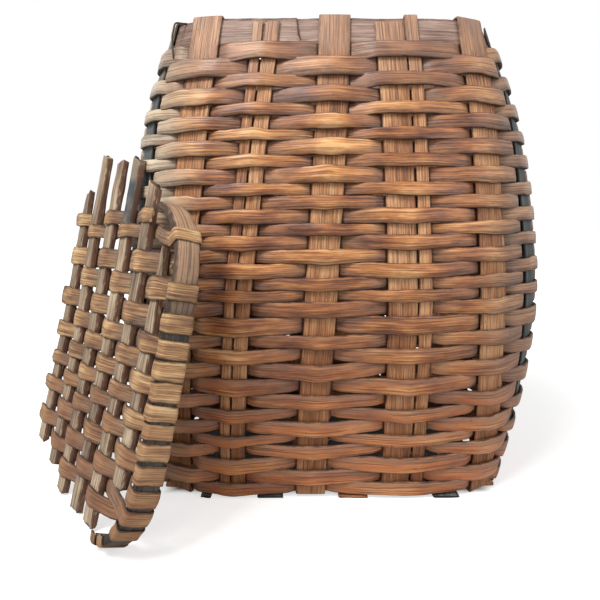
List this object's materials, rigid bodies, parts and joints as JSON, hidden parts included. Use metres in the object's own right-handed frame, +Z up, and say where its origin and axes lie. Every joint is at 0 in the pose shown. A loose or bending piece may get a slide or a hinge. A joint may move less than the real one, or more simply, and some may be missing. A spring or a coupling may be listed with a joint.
{
  "type": "lidded splint basket",
  "caption": "Tall rounded-square basket woven from flat wooden splints, with a flat broken lid taken off and leaned against its corner.",
  "frame": {"origin": "middle of the basket's underside, on the floor", "axes": "+Z up, -Y out of the basket's front, +X to the right when facing the front"},
  "size_m": [0.5385, 0.4404, 0.4463],
  "materials": {
    "weaver_wood": "aged, worn smooth, faint sheen",
    "upright_wood": "aged, dark grain",
    "weathered_splint": "weathered charcoal grey",
    "rim_wood": "aged, greyed",
    "lid_splint": "aged, greyed and dusty",
    "lid_rib_wood": "weathered dark grey brown"
  },
  "bodies": {
    "basket": {"upright_left_corner": "upright_wood", "upright_split_left": "upright_wood", "upright_split_right": "upright_wood", "upright_middle": "upright_wood", "upright_right_broad": "upright_wood", "upright_right_narrow": "upright_wood", "upright_right_corner": "upright_wood", "odd_back_upright": "upright_wood", "side_upright_front": "weathered_splint", "side_upright_middle": "weathered_splint", "side_upright_back": "weathered_splint", "base_filler_left": "weathered_splint", "base_filler_middle": "weathered_splint", "base_filler_right": "weathered_splint", "cross_filler_front": "weathered_splint", "cross_filler_back": "weathered_splint", "weaver_01": "weaver_wood", "weaver_02": "weaver_wood", "weaver_03": "weaver_wood", "weaver_04": "weaver_wood", "weaver_05": "weaver_wood", "weaver_06": "weaver_wood", "weaver_07": "weaver_wood", "weaver_08": "weaver_wood", "weaver_09": "weaver_wood", "weaver_10": "weaver_wood", "weaver_11": "weaver_wood", "rim_hoop": "rim_wood", "tie_loop": "weathered_splint"},
    "lid": {"lid_hoop": "lid_rib_wood", "lid_rib_1": "lid_rib_wood", "lid_rib_2": "lid_rib_wood", "lid_rib_3": "lid_rib_wood", "lid_rib_4": "lid_rib_wood", "lid_rib_5": "lid_rib_wood", "lid_rib_6": "lid_rib_wood", "lid_weaver_01": "lid_splint", "lid_weaver_02": "lid_splint", "lid_weaver_03": "lid_splint", "lid_weaver_04": "lid_splint", "lid_weaver_05": "lid_splint", "lid_weaver_06": "lid_splint", "lid_weaver_07": "lid_splint", "lid_weaver_08": "lid_splint", "lid_weaver_09": "lid_splint", "lid_weaver_10": "lid_splint", "lid_weaver_11": "lid_splint", "lid_weaver_12": "lid_splint", "lid_weaver_13": "lid_splint", "lid_weaver_14": "lid_splint", "lid_weaver_15": "lid_splint", "lid_binding_1": "lid_splint", "lid_binding_2": "lid_splint"}
  },
  "joints": [
    {"name": "lid_lift", "type": "slide", "parent": "basket", "child": "lid", "axis": [0, 0, 1], "range_m": [0, 0.46]}
  ]
}
